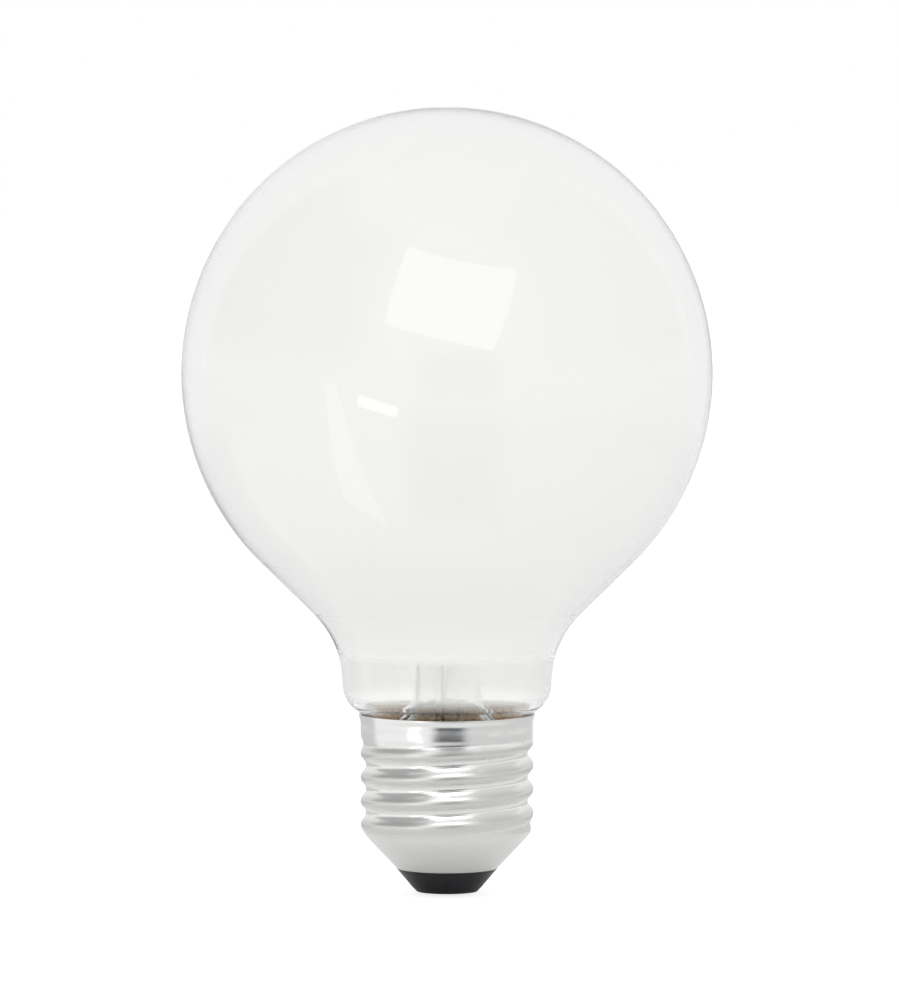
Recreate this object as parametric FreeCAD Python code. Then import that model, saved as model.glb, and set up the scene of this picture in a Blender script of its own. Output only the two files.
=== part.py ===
import FreeCAD, Part
import math
import os

# Globe bulb with a frosted-in white coat, a glass mount and a rolled screw cap.
# It stands cap down: Z runs up its axis and z = 0 is the tip of the solder under the cap.
# Outlines are drawn in the XZ plane, with X as the radius, and turned about Z.

Vec = FreeCAD.Vector

# Screw cap
cap_height = 23.4            # from its foot to its rim
cap_wall = 0.3
cap_foot_radius = 7.6
cap_foot_z = 3.9
cone_rise = 0.95             # radius gained by the cone for each mm of height
corner_softness = 0.4
thread_major = 26.15         # diameter over the crests, and of the sheet before it is rolled
thread_depth = 0.85
thread_pitch = 3.629         # seven turns to the inch
thread_crest_rise = 6.55     # a crest on the -X side, above the foot
thread_start_rise = 4.7      # above the foot
thread_full_rise = 8.7
thread_fade_drop = 6.1       # below the rim
collar_drop = 2.7
lip_swell = 0.3              # radius of the lip over the collar
lip_height = 1.2
skin_columns = 40            # spans of the rolled sheet's surface round the cap
skin_row_height = 0.3

# Insulator and contact
insulator_clearance = 0.05
insulator_foot_z = 0.4
insulator_edge_width = 0.3   # flat black ring round the contact
insulator_edge_slant = 0.6
insulator_plug_height = 2.6  # how far the insulator fills the cap's cone
contact_radius = 4.3
contact_thickness = 0.5
contact_hole_radius = 2.3
wire_hole_radius = 0.7
solder_collar_height = 0.6

# Glass bulb
globe_diameter = 80.0
glass_wall = 0.8
funnel_slope = 44.5          # degrees below level, where the globe runs into the neck
neck_radius = 15.8           # at the foot of the neck
neck_foot_rise = 4.35        # above the cap's rim
neck_height = 6.85           # from its foot to where its line meets the funnel's
neck_draft = 3.0             # degrees that the neck opens upwards
neck_fillet = 14.5           # hollow curve between funnel and neck
shoulder_radius = 4.5        # round curve between neck and shoulder
shoulder_slope = 40.0        # degrees below level
rim_gap = 0.05               # between the shoulder and the inner edge of the cap's rim
seal_gap = 0.9               # between the sealed glass and the cap
seal_fillet = 2.0
seal_drop = 4.65             # melted lower edge of the glass, below the cap's rim

# White coat on the inside of the glass
coat_thickness = 0.12
coat_edge_rise = 4.15        # above the foot of the neck

# Glass mount: flared tube, press, exhaust tube and cane
stem_diameter = 9.8
stem_wall = 1.0
stem_length = 24.0
flare_rim_height = 1.0
flare_slope = 45.0
flare_curve = 7.0
press_height = 10.0
press_width = 12.0
press_depth = 4.4
press_floor = 1.0            # glass between the tube's bore and the press
exhaust_diameter = 3.6
exhaust_wall = 0.6
exhaust_drop = 9.5           # shut tip below the melted edge of the glass
exhaust_taper = 3.0
blow_hole_diameter = 1.6
cane_diameter = 3.2
button_diameter = 5.0
button_height = 3.0
button_curve = 1.2
button_drop = 6.0            # underside of the button below the filament

# Wires
mount_turn = 77.4            # degrees from X to the plane of the two leads
lead_diameter = 0.4
seal_wire_diameter = 0.5
seal_wire_stub = 1.2         # bare length of a seal wire at each side of the press
lead_straight = 3.0          # upright length of a lead above its seal wire
lead_bend = 2.0
filament_ring_radius = 13.0
filament_span = 250.0        # degrees of the ring that the filament covers
filament_diameter = 0.7
filament_end = 4.0           # degrees of filament beyond each lead's loop
support_count = 5
support_diameter = 0.3
eye_clearance = 0.05
side_lead_turn = 97.0        # degrees from X to where the side wire goes under the glass
side_lead_kick_rise = 11.95  # where the wire leaves its straight run, above the melted edge
side_lead_knee_rise = 6.85
side_lead_clearance = 0.5    # between the wire's bends and the glass
side_lead_sag = 0.6          # how far it dips on its way under the melted edge
side_lead_bend = 1.0
side_lead_end_drop = 1.1     # end of the wire below the cap's rim
side_lead_end_run = 0.4
side_lead_wall_gap = 0.1     # between the end of the wire and the cap

# Cement and rim solder
cement_clearance = 0.05
cement_step_drop = 1.6       # where the cement widens into the collar, below the rim
cement_top_drop = 0.9
rim_solder_radius = 1.2
rim_solder_height = 1.7

# Worked out from the sizes above
cap_rim_z = cap_foot_z + cap_height
collar_z = cap_rim_z - collar_drop
collar_radius = thread_major / 2
collar_bore = collar_radius - cap_wall
thread_bore = collar_bore - thread_depth
lip_radius = collar_radius + lip_swell
neck_foot_z = cap_rim_z + neck_foot_rise
neck_top_z = neck_foot_z + neck_height
neck_top_radius = neck_radius + neck_height * math.tan(math.radians(neck_draft))
globe_radius = globe_diameter / 2
funnel_angle = math.radians(funnel_slope)
funnel_reach = globe_radius * math.sin(funnel_angle) - neck_top_radius
funnel_rise = funnel_reach * math.tan(funnel_angle)
globe_centre_z = neck_top_z + funnel_rise + globe_radius * math.cos(funnel_angle)
seal_radius = thread_bore - seal_gap
seal_bore = seal_radius - glass_wall
seal_end_z = cap_rim_z - seal_drop
stem_radius = stem_diameter / 2
stem_bore = stem_radius - stem_wall
press_foot_z = seal_end_z + stem_length
press_top_z = press_foot_z + press_height
exhaust_radius = exhaust_diameter / 2
exhaust_tip_z = seal_end_z - exhaust_drop
button_z = globe_centre_z - button_drop
lead_radius = lead_diameter / 2
lead_offset = (exhaust_radius + stem_bore) / 2
lead_foot_z = press_foot_z - press_floor - seal_wire_stub
lead_top_z = press_top_z + seal_wire_stub
cement_step_z = cap_rim_z - cement_step_drop


def at(radius, height):
    """A point of an outline, in the XZ plane."""
    return Vec(radius, 0, height)


def rounded_path(points, radii):
    """Edges through the points, with an arc of the given radius at each inner point."""
    edges = []
    start = points[0]
    for before, corner, after, radius in zip(points, points[1:], points[2:], radii):
        if radius <= 0:
            edges.append(Part.LineSegment(start, corner).toShape())
            start = corner
            continue
        back = (before - corner).normalize()
        onward = (after - corner).normalize()
        half = back.getAngle(onward) / 2
        middle = (back + onward).normalize()
        enter = corner + back * (radius / math.tan(half))
        leave = corner + onward * (radius / math.tan(half))
        deepest = corner + middle * (radius / math.sin(half) - radius)
        if (enter - start).Length > 1e-6:
            edges.append(Part.LineSegment(start, enter).toShape())
        edges.append(Part.Arc(enter, deepest, leave).toShape())
        start = leave
    edges.append(Part.LineSegment(start, points[-1]).toShape())
    return edges


def turned(edges):
    """The solid that a closed outline makes when it is turned about Z."""
    face = Part.Face(Part.Wire(Part.__sortEdges__(edges)))
    return face.revolve(Vec(0, 0, 0), Vec(0, 0, 1), 360)


def turned_outline(points, radii=None):
    """A turned solid from corner points, closed from the last point to the first."""
    radii = radii or [0] * (len(points) - 2)
    edges = rounded_path(points, radii)
    edges.append(Part.LineSegment(points[-1], points[0]).toShape())
    return turned(edges)


def round_bar(foot, top, diameter):
    """A straight round bar between two points."""
    run = top - foot
    return Part.makeCylinder(diameter / 2, run.Length, foot, run)


def bent_wire(points, bends, diameter):
    """A round wire along straight runs joined by arcs."""
    path = Part.Wire(rounded_path(points, bends))
    ring = Part.Circle(points[0], points[1] - points[0], diameter / 2).toShape()
    return path.makePipeShell([Part.Wire(ring)], True, False)


def lead_side(shape):
    """Turns a piece drawn in the XZ plane into the plane of the leads."""
    shape.rotate(Vec(0, 0, 0), Vec(0, 0, 1), mount_turn)
    return shape


# Glass bulb

def inward(slope):
    """Direction from the glass into the bulb, where the outline falls at this slope."""
    fall = math.radians(slope)
    return at(-math.sin(fall), math.cos(fall))


def meeting(point_a, slope_a, point_b, slope_b):
    """Where two straight stretches of the outline meet."""
    side = inward(slope_b)
    fall = math.radians(slope_a)
    heading = at(-math.cos(fall), -math.sin(fall))
    reach = (point_b - point_a).dot(side) / heading.dot(side)
    return point_a + heading * reach


def globe_point(radius, slope):
    """The point of the globe where its outline falls at this slope."""
    return at(0, globe_centre_z) - inward(slope) * radius


def fitting(curve, slope_a, slope_b, room):
    """The curve's radius, or less where the walls beside it have no room for it."""
    half_turn = math.radians(abs(slope_a - slope_b) / 2)
    return min(curve, room / math.tan(half_turn))


def glass_edges(inset, foot_z):
    """The outline of the glass from its crown to foot_z, drawn inset within its outer face."""
    radius = globe_radius - inset
    neck_slope = 90 - neck_draft
    funnel = globe_point(radius, funnel_slope)
    neck = at(neck_radius, neck_foot_z) + inward(neck_slope) * inset
    rim_edge = at(lip_radius - cap_wall, cap_rim_z)
    shoulder = rim_edge + inward(shoulder_slope) * (rim_gap + inset)
    seal = at(seal_radius - inset, foot_z)
    neck_top = meeting(funnel, funnel_slope, neck, neck_slope)
    neck_end = meeting(neck, neck_slope, shoulder, shoulder_slope)
    seal_top = meeting(shoulder, shoulder_slope, seal, 90)
    taken = (shoulder_radius - inset) * math.tan(math.radians(neck_slope - shoulder_slope) / 2)
    room = (neck_top - neck_end).Length - taken
    curves = [
        fitting(neck_fillet + inset, funnel_slope, neck_slope, room),
        shoulder_radius - inset,
        seal_fillet + inset,
    ]
    corners = [funnel, neck_top, neck_end, seal_top, seal]
    crown = Part.Arc(
        globe_point(radius, 180), globe_point(radius, 90 + funnel_slope / 2), funnel)
    return [crown.toShape()] + rounded_path(corners, curves)


def glass_body(inset):
    """The whole space within the glass outline, as one solid."""
    crown = at(0, globe_centre_z + globe_radius - inset)
    foot = at(0, seal_end_z)
    edges = glass_edges(inset, seal_end_z)
    edges.append(Part.LineSegment(at(seal_radius - inset, seal_end_z), foot).toShape())
    edges.append(Part.LineSegment(foot, crown).toShape())
    return turned(edges)


def make_globe_glass():
    return glass_body(0).cut(glass_body(glass_wall))


def make_opal_coating():
    coat = glass_body(glass_wall).cut(glass_body(glass_wall + coat_thickness))
    bare = Part.makeCylinder(globe_diameter, neck_foot_z + coat_edge_rise)
    return coat.cut(bare)


# Glass mount

def make_seal_wire(side):
    foot = at(side * lead_offset, lead_foot_z)
    top = at(side * lead_offset, lead_top_z)
    return lead_side(round_bar(foot, top, seal_wire_diameter))


def make_stem_flare(seal_wires):
    """Flared tube, closed by a flat press that grips the seal wires."""
    fall = math.radians(flare_slope)
    flare_rim = at(seal_bore, seal_end_z + flare_rim_height)
    flare_rise = (seal_bore - stem_radius) * math.tan(fall)
    flare_corner = at(stem_radius, flare_rim.z + flare_rise)
    under = at(-math.sin(fall), -math.cos(fall)) * stem_wall
    inner_corner = meeting(at(stem_bore, press_foot_z), 90, flare_rim + under, -flare_slope)
    inner_rim = meeting(inner_corner, -flare_slope, at(seal_bore, seal_end_z), 0)
    outline = [
        at(0, press_foot_z),
        at(stem_radius, press_foot_z),
        flare_corner,
        flare_rim,
        at(seal_bore, seal_end_z),
        inner_rim,
        inner_corner,
        at(stem_bore, press_foot_z - press_floor),
        at(0, press_foot_z - press_floor),
    ]
    curves = [0, flare_curve, 0, 0, 0, flare_curve + stem_wall, 0]
    tube = turned_outline(outline, curves)

    waist_z = press_foot_z + press_height / 2
    sections = [
        Part.Circle(Vec(0, 0, press_foot_z), Vec(0, 0, 1), stem_radius),
        Part.Ellipse(Vec(0, 0, waist_z), press_width / 2, press_depth / 2),
        Part.Ellipse(Vec(0, 0, press_top_z), press_width / 2, press_depth / 2),
    ]
    wires = [Part.Wire(section.toShape()) for section in sections]
    press = lead_side(Part.makeLoft(wires, True, True))

    blow_hole = bent_wire(
        [
            Vec(0, 0, press_foot_z - press_floor - blow_hole_diameter),
            Vec(0, 0, waist_z - blow_hole_diameter),
            Vec(0, press_width, waist_z - blow_hole_diameter),
        ],
        [blow_hole_diameter],
        blow_hole_diameter)
    stem = tube.fuse(press).removeSplitter()
    return stem.cut(lead_side(blow_hole)).cut(seal_wires)


def make_exhaust_tube():
    """Open at the press above and melted shut at its tip."""
    top = press_foot_z - press_floor
    bore = exhaust_radius - exhaust_wall
    shut_z = exhaust_tip_z + exhaust_taper
    outline = [
        at(0, exhaust_tip_z),
        at(exhaust_wall / 2, exhaust_tip_z),
        at(exhaust_radius, shut_z),
        at(exhaust_radius, top),
        at(bore, top),
        at(bore, shut_z + exhaust_wall),
        at(0, exhaust_tip_z + exhaust_wall * 2),
    ]
    return turned_outline(outline, [0, exhaust_radius, 0, 0, bore])


def make_glass_cane(supports):
    """Rod with a flattened button that holds the supports."""
    button = button_diameter / 2
    rod = cane_diameter / 2
    outline = [
        at(0, press_top_z),
        at(rod, press_top_z),
        at(rod, button_z),
        at(button, button_z),
        at(button, button_z + button_height),
        at(0, button_z + button_height),
    ]
    cane = turned_outline(outline, [0, 0, button_curve, button_curve])
    return cane.cut(supports)


# Filament, its supports and the leads

def ring_point(turn, radius, height):
    """A point at an angle around the mount, counted from the middle of the filament's gap."""
    angle = math.radians(turn)
    return Vec(radius * math.cos(angle), radius * math.sin(angle), height)


# The gap faces square to the plane of the leads, so each end lies beside its own lead.
gap_turn = 90.0
first_end = gap_turn + (360 - filament_span) / 2


def eye_radius(tube_diameter):
    """Radius of the middle line of a loop that holds the filament."""
    return (filament_diameter + tube_diameter) / 2 + eye_clearance


def eye(turn, tube_diameter):
    """A loop round the filament, with the filament's clearance inside it."""
    centre = ring_point(turn, filament_ring_radius, globe_centre_z)
    along = ring_point(turn + 90, 1, 0)
    return Part.makeTorus(eye_radius(tube_diameter), tube_diameter / 2, centre, along)


def make_filament():
    """The coiled wire, as a bar of the coil's outer diameter bent round the supports."""
    start = ring_point(first_end, filament_ring_radius, globe_centre_z)
    along = ring_point(first_end + 90, 1, 0)
    section = Part.Face(Part.Wire(Part.Circle(start, along, filament_diameter / 2).toShape()))
    coil = section.revolve(Vec(0, 0, 0), Vec(0, 0, 1), filament_span)
    return lead_side(coil)


def make_support(index):
    """A wire from the button to a loop round the filament."""
    turn = first_end + filament_span * (index + 1) / (support_count + 1)
    root = ring_point(turn, button_diameter / 4, button_z + button_height / 2)
    hold = ring_point(turn, filament_ring_radius, globe_centre_z)
    run = (hold - root).normalize()
    touch = hold - run * eye_radius(support_diameter)
    wire = round_bar(root, touch, support_diameter)
    return lead_side(wire.fuse(eye(turn, support_diameter)))


def make_inner_lead(side):
    """From the seal wire up to the filament's end, which its loop holds."""
    from_gap = (360 - filament_span) / 2 + filament_end
    turn = gap_turn - side * from_gap
    foot = at(side * lead_offset, lead_top_z)
    knee = foot + Vec(0, 0, lead_straight + lead_bend)
    hold = ring_point(turn, filament_ring_radius, globe_centre_z)
    run = (hold - knee).normalize()
    touch = hold - run * eye_radius(lead_diameter)
    wire = bent_wire([foot, knee, touch], [lead_bend], lead_diameter)
    return lead_side(wire.fuse(eye(turn, lead_diameter)))


# Screw cap

def smooth_step(low, high, height):
    """Rises smoothly from 0 at low to 1 at high."""
    share = min(max((height - low) / (high - low), 0), 1)
    return share * share * (3 - 2 * share)


def thread_groove(rise):
    """Depth of the rolled groove at a height above a crest: two arcs that run into each other."""
    quarter = thread_pitch / 4
    arc = (quarter ** 2 + (thread_depth / 2) ** 2) / thread_depth
    off_crest = abs((rise / thread_pitch + 0.5) % 1.0 - 0.5) * thread_pitch
    if off_crest <= quarter:
        return arc - math.sqrt(arc ** 2 - off_crest ** 2)
    off_root = thread_pitch / 2 - off_crest
    return thread_depth - arc + math.sqrt(arc ** 2 - off_root ** 2)


def cap_radius(turn, height):
    """Outer radius of the cap at an angle and a height."""
    rise = height - cap_foot_z
    cone = cap_foot_radius + cone_rise * rise
    overlap = math.exp(-abs(cone - collar_radius) / corner_softness)
    body = min(cone, collar_radius) - corner_softness * math.log(1 + overlap)
    lip = lip_swell * smooth_step(cap_rim_z - lip_height, cap_rim_z, height)
    rolled = smooth_step(thread_start_rise, thread_full_rise, rise)
    rolled *= 1 - smooth_step(cap_rim_z - thread_fade_drop, collar_z, height)
    crest_z = cap_foot_z + thread_crest_rise + thread_pitch * (turn - 180) / 360
    return body + lip - rolled * thread_groove(height - crest_z)


def cap_skin(inset):
    """The cap's outer face, or the face that lies inset within it along its normal."""
    columns = skin_columns
    rows = round(cap_height / skin_row_height)
    step = 1e-4
    # Control points of an even cubic lie a little outside the circle that they draw.
    swell = 1 / (2 / 3 + math.cos(2 * math.pi / columns) / 3)
    poles = []
    for column in range(columns):
        turn = 360 * column / columns
        line = []
        for row in range(rows + 1):
            height = cap_foot_z + cap_height * row / rows
            radius = cap_radius(turn, height)
            slope = (cap_radius(turn, height + step) - cap_radius(turn, height - step)) / (2 * step)
            level = inset / math.hypot(1, slope)
            line.append(ring_point(turn, (radius - level) * swell, height + level * slope))
        poles.append(line)
    spans = rows - 2
    skin = Part.BSplineSurface()
    skin.buildFromPolesMultsKnots(
        poles,
        [1] * (columns + 1),
        [4] + [1] * (spans - 1) + [4],
        [float(knot) for knot in range(columns + 1)],
        [float(knot) for knot in range(spans + 1)],
        True, False, 3, 3)
    return skin


def make_cap_shell():
    """Sheet cap with its thread rolled in, drawn as an outer and an inner skin."""
    outer = cap_skin(0)
    inner = cap_skin(cap_wall)
    faces = [outer.toShape(), inner.toShape()]
    for end in (outer.bounds()[2], outer.bounds()[3]):
        edges = [skin.vIso(end).toShape() for skin in (outer, inner)]
        faces.append(Part.makeRuledSurface(edges[0], edges[1]))
    shell = Part.makeShell(faces)
    shell.sewShape()
    solid = Part.makeSolid(shell)
    if solid.Volume < 0:
        solid.reverse()
    return solid


# Insulator, contact and solder

def make_cap_insulator():
    """Black glass cast into the cap's lower end, round the contact and the centre wire."""
    run = math.hypot(1, cone_rise)
    edge_top = cap_foot_z - insulator_clearance
    plug_top = cap_foot_z + insulator_plug_height
    inside = cap_foot_radius - cap_wall * run - insulator_clearance
    ring = contact_radius + insulator_edge_width
    contact_top = insulator_foot_z + contact_thickness
    solder_top = contact_top + solder_collar_height
    outline = [
        at(contact_radius, insulator_foot_z),
        at(ring, insulator_foot_z),
        at(ring + insulator_edge_slant, insulator_foot_z + insulator_edge_slant),
        at(cap_foot_radius, edge_top),
        at(inside - insulator_clearance, edge_top),
        at(inside + cone_rise * insulator_plug_height, plug_top),
        at(wire_hole_radius, plug_top),
        at(wire_hole_radius, solder_top),
        at(contact_hole_radius, solder_top),
        at(contact_hole_radius, contact_top),
        at(contact_radius, contact_top),
    ]
    return turned_outline(outline, [0, insulator_edge_slant, 0, 0, 0, 0, 0, 0, 0])


def make_centre_contact():
    outline = [
        at(contact_hole_radius, insulator_foot_z),
        at(contact_radius, insulator_foot_z),
        at(contact_radius, insulator_foot_z + contact_thickness),
        at(contact_hole_radius, insulator_foot_z + contact_thickness),
    ]
    return turned_outline(outline)


def make_contact_solder(centre_lead):
    """Fills the contact's hole, grips the wire and ends in a low dome."""
    top = insulator_foot_z + contact_thickness + solder_collar_height
    tip = at(0, 0)
    rim = at(contact_hole_radius, insulator_foot_z)
    ball = (contact_hole_radius ** 2 + insulator_foot_z ** 2) / (2 * insulator_foot_z)
    half = math.asin(contact_hole_radius / ball) / 2
    middle = at(ball * math.sin(half), ball - ball * math.cos(half))
    edges = [Part.Arc(tip, middle, rim).toShape()]
    edges += rounded_path([rim, at(contact_hole_radius, top), at(0, top), tip], [0, 0])
    return turned(edges).cut(centre_lead)


def make_outer_lead_centre():
    """From the press down beside the exhaust tube, and into the solder of the contact."""
    turn_z = exhaust_tip_z - lead_bend
    axis_z = cap_foot_z + insulator_plug_height + lead_bend / 2
    points = [
        at(-lead_offset, lead_foot_z),
        at(-lead_offset, turn_z),
        at(0, axis_z),
        at(0, insulator_foot_z + contact_thickness),
    ]
    return lead_side(bent_wire(points, [lead_bend, lead_bend / 2], lead_diameter))


def side_lead_point(radius, height):
    """A point of the side wire's lower run, which all lies at one angle."""
    return ring_point(side_lead_turn, radius, height)


def make_outer_lead_side():
    """From the press down, under the melted edge of the glass and up inside the collar."""
    top = lead_side(Part.Vertex(at(lead_offset, lead_foot_z))).Point
    kick = Vec(top.x, top.y, seal_end_z + side_lead_kick_rise)
    under_z = seal_end_z - lead_diameter
    channel = (seal_radius + thread_bore) / 2
    end_z = cap_rim_z - side_lead_end_drop
    end_radius = collar_bore - side_lead_wall_gap - lead_radius
    knee_radius = stem_bore - side_lead_clearance - lead_radius
    points = [
        top,
        kick,
        side_lead_point(knee_radius, seal_end_z + side_lead_knee_rise),
        side_lead_point(seal_bore - side_lead_bend, under_z - side_lead_sag),
        side_lead_point(channel, under_z),
        side_lead_point(channel, cement_step_z - side_lead_sag),
        side_lead_point(end_radius, end_z - side_lead_end_run),
        side_lead_point(end_radius, end_z),
    ]
    small = side_lead_bend / 2
    bends = [side_lead_bend, side_lead_bend, side_lead_bend, small, side_lead_bend, small / 2]
    return bent_wire(points, bends, lead_diameter)


# Cement and rim solder

def make_basing_cement(side_lead):
    """Ring that bonds the glass to the inside of the cap."""
    root = thread_bore - cement_clearance
    wall = collar_bore - cement_clearance
    top = cap_rim_z - cement_top_drop
    outline = [
        at(seal_bore, seal_end_z),
        at(root, seal_end_z),
        at(root, cement_step_z - (wall - root)),
        at(wall, cement_step_z),
        at(wall, top),
        at(seal_bore, top),
    ]
    ring = turned_outline(outline)
    return ring.cut(glass_body(0)).cut(side_lead)


def make_rim_solder():
    """A bead over the rim at the back, where the side wire ends."""
    gap = cement_clearance
    centre_z = cap_rim_z - lip_height / 2
    bead = Part.makeSphere(rim_solder_radius)
    flatten = FreeCAD.Matrix()
    flatten.scale(Vec(1, 1, rim_solder_height / 2 / rim_solder_radius))
    bead = bead.transformGeometry(flatten)
    bead.translate(at(collar_radius, centre_z))
    body = turned_outline([
        at(0, seal_end_z),
        at(collar_radius + gap, seal_end_z),
        at(collar_radius + gap, cap_rim_z - lip_height),
        at(lip_radius + gap, cap_rim_z - lip_height / 4),
        at(lip_radius + gap, cap_rim_z + gap),
        at(0, cap_rim_z + gap),
    ])
    bead.rotate(Vec(0, 0, 0), Vec(0, 0, 1), side_lead_turn)
    return bead.cut([body, glass_body(0)])


def main():
    seal_wires = {"front": make_seal_wire(-1), "back": make_seal_wire(1)}
    supports = [make_support(index) for index in range(support_count)]
    centre_lead = make_outer_lead_centre()
    side_lead = make_outer_lead_side()
    nodes = {
        "globe_glass": make_globe_glass(),
        "opal_coating": make_opal_coating(),
        "stem_flare": make_stem_flare(list(seal_wires.values())),
        "exhaust_tube": make_exhaust_tube(),
        "glass_cane": make_glass_cane(supports),
        "seal_wire_front": seal_wires["front"],
        "seal_wire_back": seal_wires["back"],
        "inner_lead_front": make_inner_lead(-1),
        "inner_lead_back": make_inner_lead(1),
        "outer_lead_centre": centre_lead,
        "outer_lead_side": side_lead,
        "filament": make_filament(),
        "cap_shell": make_cap_shell(),
        "cap_insulator": make_cap_insulator(),
        "centre_contact": make_centre_contact(),
        "contact_solder": make_contact_solder(centre_lead),
        "rim_solder": make_rim_solder(),
        "basing_cement": make_basing_cement(side_lead),
    }
    for index, support in enumerate(supports):
        nodes[f"support_wire_{index + 1}"] = support

    os.makedirs("parts", exist_ok=True)
    for name, shape in nodes.items():
        if not shape.isValid() or len(shape.Solids) != 1:
            print(name, "valid:", shape.isValid(), "solids:", len(shape.Solids))
        box = shape.BoundBox
        print(f"{name:20s} {shape.Volume:10.3f} mm3  z {box.ZMin:7.2f} to {box.ZMax:7.2f}")
        shape.exportStep(f"parts/{name}.step")


main()
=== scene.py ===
import math

import bpy
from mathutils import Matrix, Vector


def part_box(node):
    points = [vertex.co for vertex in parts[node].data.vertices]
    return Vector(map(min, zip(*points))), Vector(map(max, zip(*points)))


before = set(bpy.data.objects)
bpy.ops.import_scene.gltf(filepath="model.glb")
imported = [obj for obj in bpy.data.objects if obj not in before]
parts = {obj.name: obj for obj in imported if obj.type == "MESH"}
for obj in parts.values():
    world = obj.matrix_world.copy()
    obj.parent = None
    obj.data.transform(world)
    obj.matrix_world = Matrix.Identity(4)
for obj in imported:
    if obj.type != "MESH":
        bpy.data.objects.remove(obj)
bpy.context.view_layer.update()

# A white globe lamp with a clear neck and a screw cap, on a pale studio floor.
# The sections follow the lamp as it is put together, and the studio comes last.
# Lengths are in metres, in the frame of the CAD model: Z up the lamp's axis, -Y to the front.


# Stem, exhaust tube and cane
# One mount of clear lead glass: a flared tube pressed flat round the wires, a thin tube that the
# bulb was pumped through, and a rod with a button on top. Work in the flame leaves it wavy.

class Value:
    """An output of a finish's node, on which sums are written as plain Python."""

    def __init__(self, finish, socket):
        self.finish = finish
        self.socket = socket

    def maths(self, operation, first, second):
        return self.finish.node("ShaderNodeMath", {"operation": operation}, {0: first, 1: second})

    def __add__(self, other):
        return self.maths("ADD", self, other)

    def __radd__(self, other):
        return self.maths("ADD", other, self)

    def __sub__(self, other):
        return self.maths("SUBTRACT", self, other)

    def __rsub__(self, other):
        return self.maths("SUBTRACT", other, self)

    def __mul__(self, other):
        return self.maths("MULTIPLY", self, other)

    def __rmul__(self, other):
        return self.maths("MULTIPLY", other, self)

    def __pow__(self, other):
        return self.maths("POWER", self, other)

    def __rpow__(self, other):
        return self.maths("POWER", other, self)


class Finish:
    """A material that is built node by node."""

    def __init__(self, name):
        self.material = bpy.data.materials.new(name)
        self.material.use_nodes = True
        self.tree = self.material.node_tree
        self.tree.nodes.clear()

    def node(self, kind, settings, sockets, output=0):
        """Adds a node: its settings first, then the values or links of its sockets."""
        made = self.tree.nodes.new(kind)
        for name, value in settings.items():
            setattr(made, name, value)
        for name, value in sockets.items():
            if isinstance(value, Value):
                self.tree.links.new(value.socket, made.inputs[name])
            else:
                made.inputs[name].default_value = value
        return Value(self, made.outputs[output]) if made.outputs else None

    def place(self):
        """The point on the surface, in the lamp's frame."""
        return self.node("ShaderNodeTexCoord", {}, {}, "Object")

    def along(self, axis):
        """The point's distance along X, Y or Z."""
        return self.node("ShaderNodeSeparateXYZ", {}, {0: self.place()}, axis)

    def from_axis(self):
        """The point's distance from the lamp's axis."""
        return (self.along("X") ** 2 + self.along("Y") ** 2) ** 0.5

    def angle(self, opposite, adjacent):
        """The angle in radians that has these opposite and adjacent sides."""
        return self.node("ShaderNodeMath", {"operation": "ARCTAN2"}, {0: opposite, 1: adjacent})

    def ray(self, kind):
        """1 for a ray of this kind, such as Camera or Shadow, and 0 for others."""
        return self.node("ShaderNodeLightPath", {}, {}, f"Is {kind} Ray")

    def noise(self, size, detail=3.0, roughness=0.5, stretch=(1, 1, 1)):
        """A cloudy value from 0 to 1, with clouds of about this size."""
        point = self.node(
            "ShaderNodeMapping", {}, {"Vector": self.place(), "Scale": stretch})
        return self.node(
            "ShaderNodeTexNoise", {},
            {"Vector": point, "Scale": 1 / size, "Detail": detail, "Roughness": roughness})

    def ramp(self, value, low, high):
        """0 below low and 1 above high, with a smooth rise between."""
        return self.node(
            "ShaderNodeMapRange", {"interpolation_type": "SMOOTHSTEP"},
            {"Value": value, "From Min": low, "From Max": high})

    def between(self, angle, low, high, edge):
        """1 where an angle in radians lies between low and high, and 0 outside them.

        It rises and falls smoothly just inside the two. Low, high and the width of that edge are
        in degrees.
        """
        low, high, edge = math.radians(low), math.radians(high), math.radians(edge)
        return self.ramp(angle, low, low + edge) * (1 - self.ramp(angle, high - edge, high))

    def mixed(self, share, first, second):
        """A colour between two: the first where share is 0, and the second where it is 1."""
        return self.node(
            "ShaderNodeMix", {"data_type": "RGBA", "blend_type": "MIX"},
            {0: share, 6: first, 7: second}, 2)

    def bump(self, height, depth):
        """Surface relief of this depth in metres, where height runs from 0 to 1."""
        return self.node(
            "ShaderNodeBump", {}, {"Height": height, "Distance": depth, "Strength": 1.0})

    def surface(self, **sockets):
        """A Principled surface, whose sockets are named with underscores."""
        named = {name.replace("_", " "): value for name, value in sockets.items()}
        return self.node("ShaderNodeBsdfPrincipled", {}, named)

    def join(self, share, first, second):
        """A shader between two: the first where share is 0, and the second where it is 1."""
        return self.node("ShaderNodeMixShader", {}, {0: share, 1: first, 2: second})

    def end_with(self, shader):
        """Ends the material with this shader."""
        self.node("ShaderNodeOutputMaterial", {}, {"Surface": shader})


def dress(finish, *names):
    """Gives CAD pieces their finish."""
    for name in names:
        for slot in parts[name].material_slots:
            slot.material = finish.material


LIGHT_PASSED = (0.965, 0.965, 0.962, 1)


def let_light_in(finish, shader):
    """Glass that lets the light of the room through to what lies inside, less what it reflects."""
    shadow, lighting = finish.ray("Shadow"), finish.ray("Diffuse")
    passing = finish.node("ShaderNodeMath", {"operation": "MAXIMUM"}, {0: shadow, 1: lighting})
    clear = finish.node("ShaderNodeBsdfTransparent", {}, {"Color": LIGHT_PASSED})
    finish.end_with(finish.join(passing, shader, clear))


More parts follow.
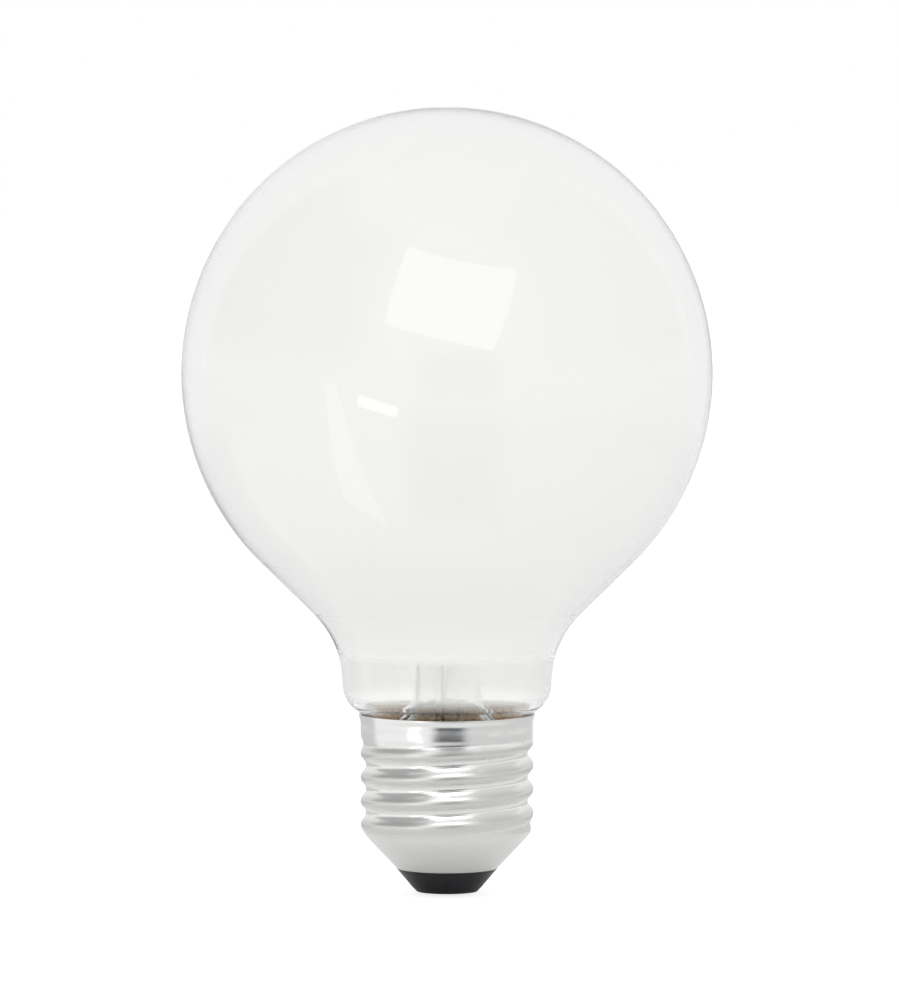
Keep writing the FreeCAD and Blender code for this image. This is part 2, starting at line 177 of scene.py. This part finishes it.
LEAD_GLASS_TINT = (0.93, 0.95, 0.93, 1)
LEAD_GLASS_PALE = (0.97, 0.98, 0.97, 1)
LEAD_GLASS_IOR = 1.56
FLAME_WAVE_DEPTH = 0.0004
lead_glass = Finish("flame_worked_lead_glass")
waves = lead_glass.noise(size=0.004, detail=2, roughness=0.4, stretch=(1, 1, 0.35))
seeds = lead_glass.noise(size=0.0006, detail=2)
lead_glass_look = lead_glass.surface(
    Base_Color=lead_glass.mixed(waves, LEAD_GLASS_TINT, LEAD_GLASS_PALE),
    Roughness=0.02 + seeds * 0.05,
    IOR=LEAD_GLASS_IOR,
    Transmission_Weight=1.0,
    Normal=lead_glass.bump(waves, FLAME_WAVE_DEPTH))
let_light_in(lead_glass, lead_glass_look)
dress(lead_glass, "stem_flare", "exhaust_tube", "glass_cane")


# Seal wires and outer leads
# Copper-clad nickel-iron wire, which grips lead glass as it cools. One lead runs to the contact
# under the cap and the other to the cap's rim. The press heats them, so they are dull.

TARNISHED_COPPER = (0.10, 0.07, 0.055, 1)
DULL_COPPER = (0.26, 0.19, 0.14, 1)
CLAD_LINE_DEPTH = 0.00001
clad_wire = Finish("tarnished_copper_clad_wire")
tarnish = clad_wire.noise(size=0.0009, detail=4, roughness=0.6)
drawn_lines = clad_wire.noise(size=0.00012, detail=2, stretch=(1, 1, 0.05))
clad_wire.end_with(clad_wire.surface(
    Base_Color=clad_wire.mixed(tarnish, TARNISHED_COPPER, DULL_COPPER),
    Metallic=1.0,
    Roughness=0.35 + tarnish * 0.3,
    Normal=clad_wire.bump(drawn_lines, CLAD_LINE_DEPTH)))
dress(clad_wire, "seal_wire_front", "seal_wire_back", "outer_lead_centre", "outer_lead_side")


# Inner leads and support wires
# Drawn nickel leads, and thin support wires with one end melted into the cane's button. Each ends
# in a loop that holds the filament.

HAZED_NICKEL = (0.44, 0.43, 0.40, 1)
BRIGHT_NICKEL = (0.62, 0.60, 0.56, 1)
NICKEL_LINE_DEPTH = 0.000008
nickel = Finish("drawn_nickel")
nickel_haze = nickel.noise(size=0.0015)
nickel_lines = nickel.noise(size=0.0001, detail=2, stretch=(1, 1, 0.1))
nickel.end_with(nickel.surface(
    Base_Color=nickel.mixed(nickel_haze, HAZED_NICKEL, BRIGHT_NICKEL),
    Metallic=1.0,
    Roughness=0.22 + nickel_haze * 0.2,
    Normal=nickel.bump(nickel_lines, NICKEL_LINE_DEPTH)))
support_wires = [name for name in parts if name.startswith("support_wire")]
dress(nickel, "inner_lead_front", "inner_lead_back", *support_wires)


# Filament
# Tungsten wire coiled tightly and hung in a broken ring from the supports. It is dark grey where it
# hasn't burned yet. The turns of the coil are relief, counted round the ring, and the gaps between
# them are painted darker as shade.

COIL_TURNS = 420
COIL_DEPTH = 0.00006
TUNGSTEN_PAINTED_GAP_SHADE = (0.03, 0.03, 0.032, 1)
TUNGSTEN_ON_TURNS = (0.20, 0.20, 0.21, 1)
tungsten = Finish("coiled_tungsten")
round_the_ring = tungsten.angle(tungsten.along("Y"), tungsten.along("X"))
wave = tungsten.node("ShaderNodeMath", {"operation": "SINE"}, {0: round_the_ring * COIL_TURNS})
coil = wave * 0.5 + 0.5
tungsten.end_with(tungsten.surface(
    # The near-black colour between the turns is painted shade in the gaps of the coil.
    Base_Color=tungsten.mixed(coil, TUNGSTEN_PAINTED_GAP_SHADE, TUNGSTEN_ON_TURNS),
    Metallic=1.0,
    Roughness=0.4 + tungsten.noise(size=0.0005) * 0.2,
    Normal=tungsten.bump(coil, COIL_DEPTH)))
dress(tungsten, "filament")


# Globe
# One blown bulb of clear soda-lime glass, polished by the flame, with a faint green cast where one
# looks along the wall. The neck was wiped clean of powder, and keeps a thin haze with wiping marks.

GLASS_TINT = (0.985, 0.985, 0.985, 1)
GLASS_EDGE_TINT = (0.86, 0.90, 0.89, 1)
GLASS_IOR = 1.5
EDGE_STARTS = 0.42
EDGE_FULL = 0.78
BLOWN_WAVE_DEPTH = 0.00005
HAZE_WHITE = (0.975, 0.975, 0.965, 1)
NECK_HAZE = 0.44
HAZE_FOOT = 0.0285
HAZE_FOOT_FADE = 0.0025
HAZE_TOP_FADE = 0.002
coat_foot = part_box("opal_coating")[0].z
clear_glass = Finish("blown_soda_glass")
glancing = clear_glass.node("ShaderNodeLayerWeight", {}, {"Blend": 0.35}, "Facing")
uneven = clear_glass.noise(size=0.022, detail=0, roughness=0.4)
clear_look = clear_glass.surface(
    Base_Color=clear_glass.mixed(
        clear_glass.ramp(glancing, EDGE_STARTS, EDGE_FULL), GLASS_TINT, GLASS_EDGE_TINT),
    Roughness=clear_glass.noise(size=0.006) * 0.03,
    IOR=GLASS_IOR,
    Transmission_Weight=1.0,
    Normal=clear_glass.bump(uneven, BLOWN_WAVE_DEPTH))
haze_look = clear_glass.node("ShaderNodeBsdfDiffuse", {}, {"Color": HAZE_WHITE})
wiping_marks = clear_glass.noise(size=0.006, detail=1, roughness=0.4, stretch=(1, 1, 0.3))
height = clear_glass.along("Z")
on_neck = clear_glass.ramp(height, HAZE_FOOT, HAZE_FOOT + HAZE_FOOT_FADE) * (
    1 - clear_glass.ramp(height, coat_foot, coat_foot + HAZE_TOP_FADE))
haze = on_neck * (0.8 + wiping_marks * 0.4) * NECK_HAZE
let_light_in(clear_glass, clear_glass.join(haze, clear_look, haze_look))
dress(clear_glass, "globe_glass")


# White coat
# Fine silica powder, laid on the inside of the bulb and stopping in a soft, level edge above the
# clear neck. It is matt, faintly cloudy where the layer is thicker, and lets some light through.

WHITE = (1, 1, 1, 1)
COAT_WHITE = (0.985, 0.985, 0.98, 1)
COAT_THIN_WHITE = (0.97, 0.97, 0.965, 1)
COAT_CLEARANCE = 0.00003
COAT_LETS_THROUGH = 0.03
COAT_EDGE_SOFTNESS = 0.0016
COAT_EDGE_WANDER = 0.0006
GRAIN_DEPTH = 0.00001
powder = Finish("white_silica_powder")
clouds = powder.noise(size=0.012, detail=4, roughness=0.55)
grains = powder.noise(size=0.0003, detail=2)
wander = powder.noise(size=0.0015, roughness=0.6) * COAT_EDGE_WANDER
cover = powder.ramp(powder.along("Z") + wander, coat_foot, coat_foot + COAT_EDGE_SOFTNESS)
matt = powder.surface(
    Base_Color=powder.mixed(clouds, COAT_THIN_WHITE, COAT_WHITE),
    Roughness=0.85 + grains * 0.1,
    Alpha=cover,
    Specular_IOR_Level=0.1,
    Normal=powder.bump(grains, GRAIN_DEPTH))
glow = powder.node("ShaderNodeBsdfTranslucent", {}, {"Color": COAT_WHITE})
through = powder.node("ShaderNodeBsdfTransparent", {}, {"Color": WHITE})
lit_from_behind = powder.join(cover, through, glow)
powder.end_with(powder.join(COAT_LETS_THROUGH, matt, lit_from_behind))
dress(powder, "opal_coating")
off_the_glass = parts["opal_coating"].modifiers.new("off_the_glass", "DISPLACE")
off_the_glass.mid_level = 0.0
off_the_glass.strength = -COAT_CLEARANCE


# Cement
# Resin with marble powder, baked brown, that bonds the glass into the cap. It is squeezed up
# between the two and sets rough and speckled, with pale grains of marble.

DARK_CEMENT = (0.76, 0.33, 0.12, 1)
LIGHT_CEMENT = (0.98, 0.67, 0.35, 1)
MARBLE_GRAIN = (0.98, 0.90, 0.72, 1)
LUMP_DEPTH = 0.00015
cement = Finish("baked_brown_cement")
lumps = cement.noise(size=0.0011, detail=4, roughness=0.65)
grit = cement.noise(size=0.0003, roughness=0.7)
marble = cement.ramp(cement.noise(size=0.0007, detail=2), low=0.52, high=0.60)
baked = cement.mixed(cement.ramp(lumps, low=0.3, high=0.7), DARK_CEMENT, LIGHT_CEMENT)
cement.end_with(cement.surface(
    Base_Color=cement.mixed(marble, baked, MARBLE_GRAIN),
    Roughness=0.75 + grit * 0.2,
    Normal=cement.bump(lumps + grit * 0.5, LUMP_DEPTH)))
dress(cement, "basing_cement")


# Screw cap
# Drawn from bright aluminium sheet, with the thread rolled in afterwards. Rolling leaves fine lines
# round it and shallow dents, drawing leaves faint lines along it, and the thread's crests are
# darker and rougher.

COLLAR_FOOT = 0.0225
COLLAR_FADE = 0.001
THREAD_ROOT = 0.0123
THREAD_CREST = 0.01305
DULL_SHEET = (0.87, 0.88, 0.875, 1)
BRIGHT_SHEET = (0.93, 0.93, 0.91, 1)
DARKER_CREST_SHEET = (0.73, 0.73, 0.71, 1)
DENT_DEPTH = 0.00006
rolled = Finish("rolled_aluminium")
roll_lines = rolled.noise(size=0.00016, roughness=0.6, stretch=(0.06, 0.06, 1))
draw_lines = rolled.noise(size=0.0004, roughness=0.6, stretch=(1, 1, 0.05))
dull = rolled.noise(size=0.004, detail=4, roughness=0.6)
dents = rolled.noise(size=0.0026, detail=1, stretch=(0.6, 0.6, 1.3))
scuffs = rolled.ramp(rolled.noise(size=0.0007, roughness=0.65), low=0.62, high=0.78)
on_collar = rolled.ramp(rolled.along("Z"), COLLAR_FOOT, COLLAR_FOOT + COLLAR_FADE)
# The thread's crests below the collar are given a darker colour and a higher roughness.
on_crests = rolled.ramp(rolled.from_axis(), THREAD_ROOT, THREAD_CREST) * (1 - on_collar)
rolled.end_with(rolled.surface(
    Base_Color=rolled.mixed(on_crests, rolled.mixed(dull, DULL_SHEET, BRIGHT_SHEET), DARKER_CREST_SHEET),
    Metallic=1.0,
    Roughness=0.14 + dull * 0.06 + on_crests * 0.14 + scuffs * 0.02 + draw_lines * 0.03,
    Normal=rolled.bump(dents + roll_lines * 0.04 + draw_lines * 0.02, DENT_DEPTH)))
dress(rolled, "cap_shell")


# Insulator
# Black glass, cast molten into the cap's open end round the contact. It is smooth and dull, with
# small pits and flow marks from the casting.

GLASS_BLACK = (0.005, 0.005, 0.007, 1)
FLOW_STREAK = (0.014, 0.013, 0.017, 1)
FLOW_DEPTH = 0.00008
black_glass = Finish("cast_black_glass")
flow = black_glass.noise(size=0.003)
pits = black_glass.ramp(black_glass.noise(size=0.0004, roughness=0.6), low=0.58, high=0.75)
black_glass.end_with(black_glass.surface(
    Base_Color=black_glass.mixed(flow, GLASS_BLACK, FLOW_STREAK),
    Roughness=0.24 + flow * 0.12 + pits * 0.2,
    Specular_IOR_Level=0.34,
    Normal=black_glass.bump(flow - pits * 0.3, FLOW_DEPTH)))
dress(black_glass, "cap_insulator")


# Contact
# A ring of plain brass sheet, set in the black glass. Handling has dulled and stained it.

STAINED_BRASS = (0.50, 0.36, 0.17, 1)
CLEAN_BRASS = (0.76, 0.60, 0.32, 1)
BRASS_GRAIN_DEPTH = 0.000008
brass = Finish("handled_brass")
stains = brass.noise(size=0.0012, detail=4, roughness=0.6)
brass.end_with(brass.surface(
    Base_Color=brass.mixed(stains, STAINED_BRASS, CLEAN_BRASS),
    Metallic=1.0,
    Roughness=0.25 + stains * 0.25,
    Normal=brass.bump(brass.noise(size=0.0002, detail=2), BRASS_GRAIN_DEPTH)))
dress(brass, "centre_contact")


# Solder
# A low dome that holds the centre wire in the contact, and a bead over the rim at the end of the
# side wire. It sets dull grey, with a few wrinkles and flux marks.

PLAIN_SOLDER = (0.58, 0.58, 0.57, 1)
FLUX_STAIN = (0.42, 0.38, 0.32, 1)
WRINKLE_DEPTH = 0.00008
solder = Finish("dull_solder")
wrinkles = solder.noise(size=0.0007)
flux = solder.ramp(solder.noise(size=0.0015, roughness=0.6), low=0.55, high=0.7)
solder.end_with(solder.surface(
    Base_Color=solder.mixed(flux, PLAIN_SOLDER, FLUX_STAIN),
    Metallic=1.0,
    Roughness=0.3 + flux * 0.25,
    Normal=solder.bump(wrinkles, WRINKLE_DEPTH)))
dress(solder, "contact_solder", "rim_solder")


# Floor
# A pale studio floor that the lamp stands on by its contact. The camera sees it white apart from
# the lamp's shadow, glass shows it plain white, and metal mirrors it a little darker.

FLOOR_RADIUS = 4.0
FLOOR_SIDES = 96
FLOOR_IN_SHADOW = (0.40, 0.40, 0.40, 1)
FLOOR_GLOW = 0.80
FLOOR_IN_METAL = (0.86, 0.86, 0.85, 1)
FLOOR_PAINT = (0.965, 0.965, 0.965, 1)
floor_rim = [
    (FLOOR_RADIUS * math.cos(turn), FLOOR_RADIUS * math.sin(turn), 0)
    for turn in (math.tau * step / FLOOR_SIDES for step in range(FLOOR_SIDES))]
floor_mesh = bpy.data.meshes.new("studio_floor")
floor_mesh.from_pydata(floor_rim, [], [range(FLOOR_SIDES)])
floor = bpy.data.objects.new("studio_floor", floor_mesh)
bpy.context.scene.collection.objects.link(floor)

pale = Finish("pale_floor")
shadowed = pale.node("ShaderNodeBsdfDiffuse", {}, {"Color": FLOOR_IN_SHADOW})
floor_glow = pale.node("ShaderNodeEmission", {}, {"Color": WHITE, "Strength": FLOOR_GLOW})
to_camera = pale.node("ShaderNodeAddShader", {}, {0: shadowed, 1: floor_glow})
through_glass = pale.node("ShaderNodeEmission", {}, {"Color": WHITE, "Strength": 1.0})
in_metal = pale.node("ShaderNodeBsdfDiffuse", {}, {"Color": FLOOR_IN_METAL})
painted = pale.node("ShaderNodeBsdfDiffuse", {}, {"Color": FLOOR_PAINT})
floor_look = pale.join(pale.ray("Glossy"), painted, in_metal)
floor_look = pale.join(pale.ray("Transmission"), floor_look, through_glass)
floor_look = pale.join(pale.ray("Camera"), floor_look, to_camera)
pale.end_with(floor_look)
floor_mesh.materials.append(pale.material)


# Studio light
# A white tent all round, which is the world, and one large soft lamp low in front.

TENT_STRENGTH = 1.0
world = bpy.data.worlds.new("white_tent")
bpy.context.scene.world = world
world.use_nodes = True
tent = world.node_tree.nodes["Background"]
tent.inputs["Color"].default_value = WHITE
tent.inputs["Strength"].default_value = TENT_STRENGTH

LAMP_PLACE = Vector((-0.05, -0.85, 0.05))
LAMP_AIM = Vector((0, 0, 0.06))
LAMP_SIZE = 0.4
LAMP_POWER = 0.5
lamp_data = bpy.data.lights.new("soft_lamp", "AREA")
lamp_data.size = LAMP_SIZE
lamp_data.energy = LAMP_POWER
lamp = bpy.data.objects.new("soft_lamp", lamp_data)
lamp.location = LAMP_PLACE
lamp.rotation_euler = (LAMP_AIM - LAMP_PLACE).to_track_quat("-Z", "Y").to_euler()
lamp.visible_glossy = False
lamp.visible_transmission = False
bpy.context.scene.collection.objects.link(lamp)


# Cards round the lamp
# What polished metal and glass mirror of the room: a window, a bar and a sheet, patches of floor,
# the dark place round the camera, and walls. They show only in reflections and light nothing.

CARD_CENTRE = Vector((0, 0, 0.0787))
CARD_STEPS = 24
LIFT_AT_ONE_METRE = 0.0005


def card_mesh(name, distance, corners):
    """A curved card at this distance from the globe's centre.

    Its corners go round it from the lower left. Each is an azimuth, to the right of the camera, and
    an elevation, both in degrees. Where the floor is nearer, the card lies a little above it, and
    near cards lie on top of far ones.
    """
    room_below = CARD_CENTRE.z - LIFT_AT_ONE_METRE / distance
    points = []
    for row in range(CARD_STEPS + 1):
        up = row / CARD_STEPS
        for column in range(CARD_STEPS + 1):
            across = column / CARD_STEPS
            shares = ((1 - across) * (1 - up), across * (1 - up), across * up, (1 - across) * up)
            turn = math.radians(sum(share * corner[0] for share, corner in zip(shares, corners)))
            rise = math.radians(sum(share * corner[1] for share, corner in zip(shares, corners)))
            heading = Vector((
                math.sin(turn) * math.cos(rise), -math.cos(turn) * math.cos(rise), math.sin(rise)))
            reach = min(distance, room_below / -heading.z) if heading.z < 0 else distance
            points.append(CARD_CENTRE + reach * heading)
    faces = []
    for row in range(CARD_STEPS):
        for column in range(CARD_STEPS):
            first = row * (CARD_STEPS + 1) + column
            faces.append((first, first + 1, first + CARD_STEPS + 2, first + CARD_STEPS + 1))
    mesh = bpy.data.meshes.new(name)
    mesh.from_pydata(points, [], faces)
    return mesh


def card_finish(name, brightness, corners, tint, edge):
    """An even glow.

    A card with an edge has level and upright sides, and fades out over that many degrees inside
    them.
    """
    lit = Finish(name)
    shine = lit.node("ShaderNodeEmission", {}, {"Color": tint, "Strength": brightness})
    if edge:
        (left, foot), (right, _), (_, top), _ = corners
        azimuth = lit.angle(lit.along("X"), lit.along("Y") * -1)
        elevation = lit.angle(lit.along("Z") - CARD_CENTRE.z, lit.from_axis())
        whole = lit.between(azimuth, left, right, edge) * lit.between(elevation, foot, top, edge)
        clear = lit.node("ShaderNodeBsdfTransparent", {}, {"Color": WHITE})
        shine = lit.join(whole, clear, shine)
    lit.end_with(shine)
    return lit


def card(name, brightness, distance, corners, tint=WHITE, edge=0):
    """A card that only reflections show."""
    mesh = card_mesh(name, distance, corners)
    mesh.materials.append(card_finish(name, brightness, corners, tint, edge).material)
    board = bpy.data.objects.new(name, mesh)
    bpy.context.scene.collection.objects.link(board)
    board.visible_camera = False
    board.visible_diffuse = False
    board.visible_transmission = False
    board.visible_shadow = False


FLOOR_BLUE = (0.85, 0.88, 1.0, 1)
CAMERA_BLUE = (0.9, 0.93, 1.0, 1)
WALL_GREEN = (0.98, 1.0, 0.97, 1)
card("window", 2.4, 0.22, [(-26, 21), (18, 11), (35, 42), (-23, 53)])
card("bright_bar", 3.4, 0.16, [(-34.5, -9.6), (-19.3, -13.8), (-18.3, -10), (-33.5, -5.6)])
card("pale_sheet", 1.7, 0.33, [(-48, -42), (-30, -52), (-46, -2), (-51, -2)])
card("bright_floor_left", 0.94, 0.60, [(-114, -62), (-8, -62), (-8, -8), (-114, -8)], edge=14)
card("dark_floor_ahead", 0.11, 0.58, [(-24, -58), (31, -58), (31, -5), (-24, -5)],
     tint=FLOOR_BLUE, edge=16)
card("grey_floor_right", 0.66, 0.60, [(18, -60), (160, -60), (160, -8), (18, -8)], edge=10)
card("grey_floor_behind", 0.62, 0.59, [(-170, -60), (-104, -60), (-104, -8), (-170, -8)], edge=10)
card("dark_by_the_camera", 0.30, 0.30, [(-16, -13), (26, -13), (26, 16), (-16, 16)],
     tint=CAMERA_BLUE, edge=11)
card("grey_wall_left", 0.44, 0.80, [(-135, -5), (-26, -5), (-26, 70), (-135, 70)], edge=20)
card("grey_wall_right", 0.70, 0.80, [(36, -5), (132, -5), (132, 75), (36, 75)],
     tint=WALL_GREEN, edge=15)
card("pale_wall_behind", 0.85, 0.80, [(130, -5), (230, -5), (230, 75), (130, 75)])


# Camera
# It looks slightly down from the front with a long lens, as the photograph was taken.

CAMERA_DISTANCE = 1.15
CAMERA_HEIGHT = 0.13213
CAMERA_SIDE = 0.000376
CAMERA_PITCH = math.radians(3.61)
LENS_MILLIMETRES = 275.35
SENSOR_MILLIMETRES = 36.0
NEAREST_SEEN = 0.01
FARTHEST_SEEN = 50.0
camera_data = bpy.data.cameras.new("camera")
camera_data.lens = LENS_MILLIMETRES
camera_data.sensor_width = SENSOR_MILLIMETRES
camera_data.clip_start = NEAREST_SEEN
camera_data.clip_end = FARTHEST_SEEN
camera = bpy.data.objects.new("camera", camera_data)
camera.location = (CAMERA_SIDE, -CAMERA_DISTANCE, CAMERA_HEIGHT)
camera.rotation_euler = (math.pi / 2 - CAMERA_PITCH, 0, 0)
bpy.context.scene.collection.objects.link(camera)
bpy.context.scene.camera = camera
bpy.context.scene.view_settings.view_transform = "Standard"
